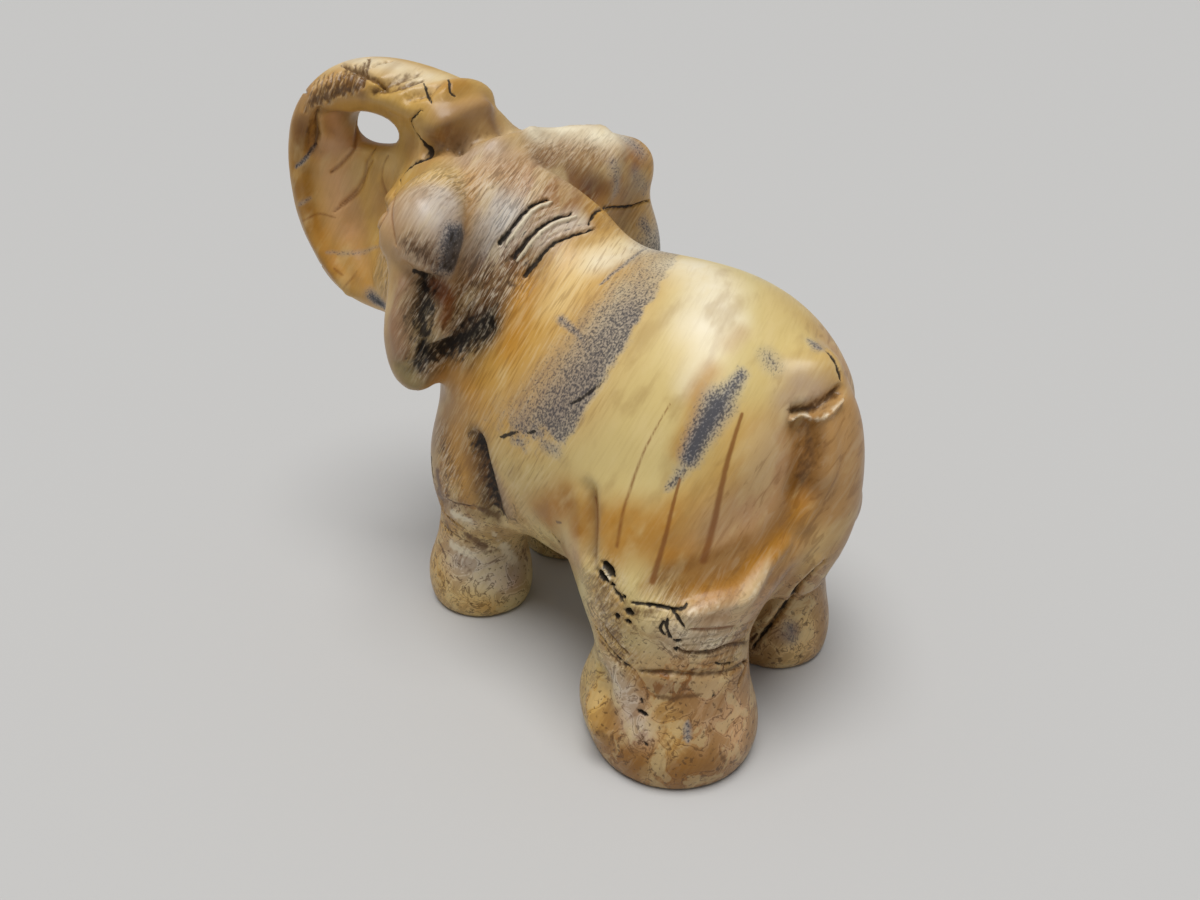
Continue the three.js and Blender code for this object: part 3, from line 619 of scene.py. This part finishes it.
painted = [("photo", wide, {"wash": (colours[colour], strength)}, path)
           for wide, colour, strength, path in washes]
strokes = painted + forms + marks


def refine(skin):
    # cuts the skin finer beside the thin strokes
    rays = treeOf(skin.data)
    thin = [(view, path) for view, wide, _, path in strokes if wide < stone["thin"]]
    spots = np.concatenate([onSkin(rays, view, path)[0] for view, path in thin])
    nearest = KDTree(len(spots))
    for n, spot in enumerate(spots):
        nearest.insert(spot, n)
    nearest.balance()
    chosen = [nearest.find(p.center / mm)[2] < stone["thin"] for p in skin.data.polygons]
    bpy.ops.object.mode_set(mode="EDIT")
    bpy.ops.mesh.select_mode(type="FACE")
    bpy.ops.mesh.select_all(action="DESELECT")
    bpy.ops.object.mode_set(mode="OBJECT")
    skin.data.polygons.foreach_set("select", chosen)
    bpy.ops.object.mode_set(mode="EDIT")
    bpy.ops.mesh.subdivide(number_cuts=stone["cuts"], smoothness=0.6)
    bpy.ops.object.mode_set(mode="OBJECT")


skin = fineSkin()
refine(skin)
mesh = skin.data
count = len(mesh.vertices)
base = points(mesh) / mm
normal = np.empty(count * 3, np.float32)
mesh.vertex_normals.foreach_get("vector", normal)
normal = normal.reshape(-1, 3)
tree = treeOf(mesh)
print("skin", count, "points", sum(len(p.vertices) - 2 for p in mesh.polygons), "triangles")


def near(line, facings, reach):
    # for each point of the skin within reach of the line: its number, distance and share of the way
    low, high = line.min(0) - reach, line.max(0) + reach
    ids = np.flatnonzero(((base > low) & (base < high)).all(1))
    starts, ends = (line[:-1], line[1:]) if len(line) > 1 else (line, line)
    far = np.full(len(ids), np.inf, np.float32)
    along = np.zeros(len(ids), np.float32)
    for n, (a, b) in enumerate(zip(starts, ends)):
        gap, way = base[ids] - a, b - a
        long = float(way @ way)
        t = np.clip(gap @ way / long, 0, 1) if long > 1e-9 else np.zeros(len(ids), np.float32)
        off = gap - t[:, None] * way
        d = np.sqrt((off * off).sum(1))
        d[normal[ids] @ facings[n] < stone["facing"]] = np.inf
        closer = d < far
        far[closer] = d[closer]
        along[closer] = ((n + t) / len(starts))[closer]
    kept = far < reach
    return ids[kept], far[kept], along[kept]


pigments = ["black", "dark", "brown", "rust", "line", "cream", "grain"]
ink = {name: np.zeros(count, np.float32) for name in pigments}  # how strong at each point
lift = np.zeros(count, np.float32)       # mm out of the skin
wash = np.zeros((count, 4), np.float32)  # a colour, and how much it covers


def stroke(view, wide, effects, path):
    # leaves a stroke's pigments, wash and relief on the points beside it
    thin = wide < stone["thin"]
    cracked = thin and "line" not in effects  # veins run smoothly, cracks don't
    line, facings = onSkin(tree, view, path, stone["ragged"] if cracked else 0)
    if not len(line):
        print("stroke misses", view, path[:2])
        return
    ids, far, along = near(line, facings, wide)
    if thin and "ends" not in effects:
        full = np.sqrt(np.clip(np.sin(np.pi * along), 0, 1))
        width = wide * (stone["blunt"] + (1 - stone["blunt"]) * full)
    else:
        first, last = effects.get("ends", (1, 1))
        width = wide * (first + (last - first) * along)
    share = np.clip(1 - far / np.maximum(width, 1e-3), 0, 1)
    soft = share * share * (3 - 2 * share)
    for name, amount in effects.items():
        if name in ink:
            ink[name][ids] = np.maximum(ink[name][ids], share * amount)
        elif name == "groove":
            lift[ids] -= amount * soft
        elif name == "ridge":
            lift[ids] += amount * soft
        elif name == "wash":
            colour, strength = amount
            over = (soft * strength)[:, None]
            under = wash[ids, 3:] * (1 - over)
            total = over + under
            mixed = np.array(linear(colour)) * over + wash[ids, :3] * under
            wash[ids] = np.concatenate([mixed / np.maximum(total, 1e-5), total], 1)


for view, wide, effects, path in strokes:
    stroke(view, wide, effects, path)
print("strokes", len(strokes))

# Put the carving on the skin, and the pigments with it
placed = (base + normal * lift[:, None]) * mm
placed[:, 2] = np.maximum(placed[:, 2], 0)  # the feet stay on the ground
mesh.vertices.foreach_set("co", placed.ravel())
for name, values in (*ink.items(), ("washed", wash[:, 3])):
    layer = mesh.attributes.new(name, "FLOAT", "POINT")
    layer.data.foreach_set("value", np.ascontiguousarray(values))
layer = mesh.attributes.new("wash", "FLOAT_VECTOR", "POINT")
layer.data.foreach_set("vector", np.ascontiguousarray(wash[:, :3]).ravel())
mesh.update()
bpy.ops.object.shade_smooth()
print("carving", float(lift.min()), float(lift.max()))


def put(nodes, name, kind, settings=None, inputs=None):
    # an input is a value, a colour like "#AABBCC", or the name of an earlier node, with its
    # output after a dot. Numbered sockets: Math and VectorMath take their numbers in order,
    # MapRange a value, from 1 and 2, to 3 and 4, and MixRGB the cover, what is under, what is over.
    node = nodes.new("ShaderNode" + kind)
    node.name = name
    for key, value in (settings or {}).items():
        setattr(node, key, value)
    for socket, value in (inputs or {}).items():
        if isinstance(value, str) and value[0] == "#":
            node.inputs[socket].default_value = (*linear(value), 1)
        elif isinstance(value, str):
            source, _, output = value.partition(".")
            node.id_data.links.new(nodes[source].outputs[output or 0], node.inputs[socket])
        else:
            node.inputs[socket].default_value = value
    return node


# The beds' colours, by mm across them: from the trunk to the tail
bedColours = {
    -34: "#C39A54", -22: "#C4A05E", -17: "#B59874", -12: "#A88B6A", -9: "#A28055",
    -7: "#C09450", -3: "#C49C5A", 0: "#CDB078", 2: "#D5BE84", 7: "#D3C088",
    11: "#C9AC6E", 15: "#B58B57", 19: "#AA8252", 22: "#A8845A",
}

# Noises: where they are read, how often they turn along each axis (in "bedded" the first axis
# goes across the beds), scale per mm, detail, warp
noises = {
    "sway": ("inMm", (1, 1, 1), 0.09, 2, 0),
    "patchy": ("inMm", (1, 1, 1), 0.5, 3, 0),
    "cloud": ("bedded", (1.6, 0.6, 0.6), 0.3, 4, 0.2),
    "fine": ("bedded", (3.2, 0.22, 0.22), 1.6, 3, 0.3),
    "hair": ("bedded", (4.4, 0.5, 0.5), 1.4, 2, 0.8),
    "vein": ("bedded", (1.7, 0.35, 0.35), 0.9, 5, 1),
    "fleck": ("inMm", (1, 1, 1), 2.3, 3, 0.5),
    "dots": ("bedded", (1.3, 0.9, 0.9), 5.2, 1.5, 0.3),
    "mottle": ("inMm", (1, 1, 1), 0.42, 7, 0.8),
    "edge": ("inMm", (1, 1, 1), 0.7, 4, 0),
    "rough": ("bedded", (1.4, 0.7, 0.7), 2, 4, 0),
}

# Pigments: colour, how ragged the edge is, where it starts and is full, and how much it covers.
# Black, brown and cream also lay painted shade in creases and hollows and painted highlight along
# rims
inks = {
    "brown": ("#5E3E1E", 0.5, 0.2, 0.8, 0.8),
    "rust": ("#7A4420", 0.45, 0.25, 1, 0.7),
    "line": ("#7E4C22", 0.12, 0.15, 0.8, 0.8),
    "cream": ("#E8DCC0", 0.45, 0.2, 0.8, 0.75),
    "black": ("#1B1510", 0.45, 0.22, 0.6, 0.94),
}


def polishedAgate():
    # banded agate, hand polished to a wax shine: the eye sees honey and cream beds, fine lines
    # along them, one dark bed full of dots, and feet of mottled, duller stone
    material = bpy.data.materials.new("polished banded agate")
    material.use_nodes = True
    nodes = material.node_tree.nodes
    nodes.clear()
    offset = sum(e * a for e, a in zip(beds["edge"], beds["across"]))
    turn = Vector(beds["across"]).rotation_difference(Vector((1, 0, 0))).to_euler()
    times, plus, minus = ({"operation": o} for o in ("MULTIPLY", "ADD", "SUBTRACT"))
    madd, smooth = {"operation": "MULTIPLY_ADD"}, {"interpolation_type": "SMOOTHSTEP"}

    # place in mm, mm across the beds from the dark bed's edge, and the beds' own axes
    put(nodes, "place", "TexCoord")
    put(nodes, "inMm", "VectorMath", {"operation": "SCALE"}, {0: "place.Object", "Scale": 1 / mm})
    put(nodes, "xyz", "SeparateXYZ", {}, {0: "inMm"})
    put(nodes, "dot", "VectorMath", {"operation": "DOT_PRODUCT"}, {0: "inMm", 1: beds["across"]})
    put(nodes, "across", "Math", minus, {0: "dot.Value", 1: offset})
    put(nodes, "bedded", "Mapping", {}, {0: "inMm", "Rotation": turn})
    for name, (source, stretch, scale, detail, warp) in noises.items():
        put(nodes, name + "At", "VectorMath", times, {0: source, 1: stretch})
        put(nodes, name + "Raw", "TexNoise", {},
            {"Vector": name + "At", "Scale": scale, "Detail": detail, "Distortion": warp})
        put(nodes, name, "MapRange", {}, {0: name + "Raw", 1: 0.3, 2: 0.7})
    for name in (*pigments, "washed", "wash"):
        put(nodes, name, "Attribute", {"attribute_name": name})

    # the beds' colours, and the washes over them
    put(nodes, "swayBy", "Math", plus, {0: "sway", 1: -0.5})
    put(nodes, "swayed", "Math", madd, {0: "swayBy", 1: 4.0, 2: "across"})
    low, high = min(bedColours), max(bedColours)
    put(nodes, "share", "MapRange", {}, {0: "swayed", 1: low, 2: high})
    ramp = put(nodes, "bedTone", "ValToRGB", {}, {0: "share"}).color_ramp
    while len(ramp.elements) > 1:
        ramp.elements.remove(ramp.elements[0])
    for mark, colour in bedColours.items():
        at = (mark - low) / (high - low)
        stop = ramp.elements.new(at) if mark > low else ramp.elements[0]
        stop.position = at
        stop.color = (*linear(colour), 1)
    put(nodes, "patches", "MapRange", {}, {0: "patchy", 3: 0.8, 4: 1.1})
    put(nodes, "washCover", "Math", times, {0: "washed.Fac", 1: "patches"})
    put(nodes, "washedTone", "MixRGB", {}, {0: "washCover", 1: "bedTone", 2: "wash.Vector"})

    # where the stone is lined: on the shoulder, on the haunch and legs, where grain is painted
    put(nodes, "shoulderFrom", "MapRange", smooth, {0: "swayed", 1: -12, 2: -7})
    put(nodes, "shoulderTo", "MapRange", smooth, {0: "swayed", 1: 0.5, 2: -1.5})
    put(nodes, "shoulder", "Math", times, {0: "shoulderFrom", 1: "shoulderTo"})
    put(nodes, "haunch", "MapRange", smooth, {0: "swayed", 1: 9, 2: 15})
    put(nodes, "legs", "MapRange", smooth, {0: "xyz.Z", 1: 20, 2: 13})
    put(nodes, "lined", "Math", madd, {0: "shoulder", 1: 0.6, 2: "grain.Fac"})
    put(nodes, "lines", "Math", madd, {0: "lined", 1: 0.6, 2: 0.08})

    # thin brown threads on the legs, halfway between the pale patches and the brown ones
    put(nodes, "halfway", "Math", plus, {0: "mottle", 1: -0.5})
    put(nodes, "between", "Math", {"operation": "ABSOLUTE"}, {0: "halfway"})

    # what lies over the beds: its noise, where it starts and is full, how much it covers at
    # most and where, and its colour
    masks = [
        ("shade", "cloud", 0.45, 0.05, 0.3, None, "#94703F"),
        ("glow", "cloud", 0.55, 0.95, 0.3, None, "#E2CC98"),
        ("darkLine", "fine", 0.48, 0.08, 0.8, "lines", "#7A5228"),
        ("lightLine", "fine", 0.55, 0.95, 0.5, "lines", "#EBD9B4"),
        ("darkHair", "hair", 0.47, 0.2, 0.8, "grain.Fac", "#33251A"),
        ("lightHair", "hair", 0.54, 0.82, 0.6, "grain.Fac", "#E6DAC4"),
        ("brownVein", "vein", 0.42, 0.15, 0.4, "haunch", "#7B5228"),
        ("paleVein", "vein", 0.6, 0.9, 0.12, "haunch", "#DCCDB0"),
        ("brownPatch", "mottle", 0.42, 0.34, 0.4, "legs", "#8A6230"),
        ("palePatch", "mottle", 0.6, 0.67, 0.32, "legs", "#D0BE90"),
        ("thread", "between", 0.04, 0.01, 0.6, "legs", "#553718"),
        ("speck", "fleck", 0.74, 0.9, 0.6, "legs", "#4A3018"),
    ]
    tone = "washedTone"
    for name, source, start, full, most, where, tint in masks:
        put(nodes, name + "Mask", "MapRange", smooth, {0: source, 1: start, 2: full, 4: most})
        put(nodes, name + "Cover", "Math", times, {0: name + "Mask", 1: where or 1.0})
        put(nodes, name, "MixRGB", {}, {0: name + "Cover", 1: tone, 2: tint})
        tone = name

    # the dark bed: sharp towards the tail, dissolving towards the head, and ending above the belly
    put(nodes, "edgeBy", "Math", plus, {0: "edge", 1: -0.5})
    put(nodes, "bedEdge", "Math", madd, {0: "edgeBy", 1: 0.6, 2: "across"})
    put(nodes, "bedWidth", "MapRange", {}, {0: "xyz.Z", 1: 25, 2: 39, 3: 6.2, 4: 3.2})
    put(nodes, "within", "Math", {"operation": "DIVIDE"}, {0: "bedEdge", 1: "bedWidth"})
    put(nodes, "bedFrom", "MapRange", smooth, {0: "within", 1: -1.35, 2: -0.25})
    put(nodes, "bedTo", "MapRange", smooth, {0: "within", 1: 0.08, 2: -0.06})
    put(nodes, "bedOpen", "Math", times, {0: "bedFrom", 1: "bedTo"})
    put(nodes, "bedFoot", "Math", madd, {0: "edgeBy", 1: 3.5, 2: "xyz.Z"})
    put(nodes, "bedEnd", "MapRange", smooth, {0: "bedFoot", 1: 24.3, 2: 26.8, 4: 0.8})
    put(nodes, "bedHead", "MapRange", smooth, {0: "xyz.Z", 1: 35, 2: 38, 3: 1, 4: 0.4})
    put(nodes, "bedFull", "Math", times, {0: "bedOpen", 1: "bedEnd"})
    put(nodes, "bed", "Math", times, {0: "bedFull", 1: "bedHead"})
    put(nodes, "stain", "Math", {"operation": "MAXIMUM"}, {0: "bed", 1: "dark.Fac"})
    put(nodes, "greyCover", "Math", times, {0: "stain", 1: 0.82})
    put(nodes, "greyed", "MixRGB", {}, {0: "greyCover", 1: tone, 2: "#999593"})
    # dots crowd together where the stain is strong
    put(nodes, "crowd", "Math", plus, {0: "dots", 1: "stain"})
    put(nodes, "dotMask", "MapRange", smooth, {0: "crowd", 1: 0.75, 2: 1.7, 4: 0.82})
    put(nodes, "stained", "MapRange", smooth, {0: "stain", 1: 0.04, 2: 0.25})
    put(nodes, "dotCover", "Math", times, {0: "dotMask", 1: "stained"})
    put(nodes, "dotted", "MixRGB", {}, {0: "dotCover", 1: "greyed", 2: "#33333B"})

    # the painted pigments, with ragged edges
    tone = "dotted"
    put(nodes, "ragged", "Math", plus, {0: "rough", 1: -0.5})
    for name, (colour, soft, start, full, most) in inks.items():
        put(nodes, name + "Ragged", "Math", madd, {0: "ragged", 1: soft, 2: name + ".Fac"})
        put(nodes, name + "Cover", "MapRange", smooth,
            {0: name + "Ragged", 1: start, 2: full, 4: most})
        put(nodes, name + "Tone", "MixRGB", {}, {0: name + "Cover", 1: tone, 2: colour})
        tone = name + "Tone"

    put(nodes, "rich", "HueSaturation", {}, {"Saturation": stone["richness"], "Color": tone})

    # gloss: waxy, duller in the cracks
    smoothest, dullest = stone["roughness"]
    clamped = {"operation": "MULTIPLY", "use_clamp": True}
    put(nodes, "dull", "Math", clamped, {0: "black.Fac", 1: 0.45})
    put(nodes, "waxy", "MapRange", {}, {0: "cloud", 3: smoothest, 4: dullest})
    put(nodes, "gloss", "Math", plus, {0: "waxy", 1: "dull"})

    # fine relief along the lines and hairs, and specks sunk into the legs
    put(nodes, "lineRelief", "Math", times, {0: "fine", 1: "lines"})
    put(nodes, "hairRelief", "Math", times, {0: "hair", 1: "grain.Fac"})
    put(nodes, "pitAmount", "Math", madd, {0: "legs", 1: -0.8, 2: -0.1})
    put(nodes, "pitRelief", "Math", times, {0: "fleck", 1: "pitAmount"})
    put(nodes, "someRelief", "Math", plus, {0: "lineRelief", 1: "hairRelief"})
    put(nodes, "relief", "Math", plus, {0: "someRelief", 1: "pitRelief"})
    depth = stone["bump"] * mm
    put(nodes, "bump", "Bump", {}, {"Height": "relief", "Strength": 0.3, "Distance": depth})
    put(nodes, "look", "BsdfPrincipled", {},
        {"Base Color": "rich", "Roughness": "gloss", "Specular IOR Level": stone["shine"],
         "Normal": "bump"})
    put(nodes, "out", "OutputMaterial", {}, {"Surface": "look"})
    return material


skin.data.materials.append(polishedAgate())
print("stone", len(skin.data.materials[0].node_tree.nodes), "nodes")
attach(skin, "root")
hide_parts("elephant")

lights = {
    "room": 0.3,          # strength of the soft light from all round
    "sun": 2.65,          # strength of the light above
    "spread": 38,         # degrees; wide, for soft shadows
    "from": (40, 20, 240),
}


def studio():
    # a pale floor, soft light and the picture's camera
    bpy.ops.object.select_all(action="DESELECT")
    bpy.ops.mesh.primitive_plane_add(size=4, location=(0, 0, 0))
    floor = bpy.context.view_layer.objects.active
    floor.name = "paleFloor"
    # matt pale paper: throws soft light back up and shows no glare
    matt = bpy.data.materials.new("matt pale floor")
    matt.use_nodes = True
    paint = matt.node_tree.nodes["Principled BSDF"].inputs
    paint["Base Color"].default_value = (*linear("#BEBDBB"), 1)
    paint["Roughness"].default_value = 0.75
    floor.data.materials.append(matt)
    world = bpy.data.worlds.new("soft room")
    bpy.context.scene.world = world
    world.use_nodes = True
    air = world.node_tree.nodes["Background"].inputs
    air["Color"].default_value = (0.97, 0.98, 1, 1)
    air["Strength"].default_value = lights["room"]
    bpy.ops.object.light_add(type="SUN", location=Vector(lights["from"]) * mm)
    lamp = bpy.context.view_layer.objects.active
    lamp.name = "soft light above"
    lamp.data.angle = math.radians(lights["spread"])
    lamp.data.energy = lights["sun"]
    lamp.rotation_euler = (-Vector(lights["from"])).to_track_quat("-Z", "Y").to_euler()
    bpy.ops.object.camera_add(location=Vector(picture["place"]) * mm)
    camera = bpy.context.view_layer.objects.active
    camera.name = "picture camera"
    camera.rotation_euler = Matrix((right, up, back)).transposed().to_euler()
    camera.data.sensor_width = picture["sensor"]
    camera.data.lens = picture["sensor"] * picture["focal"] / picture["width"]
    camera.data.clip_start = 1 * mm
    bpy.context.scene.camera = camera
    bpy.context.scene.view_settings.view_transform = "Standard"


studio()
print("studio set")
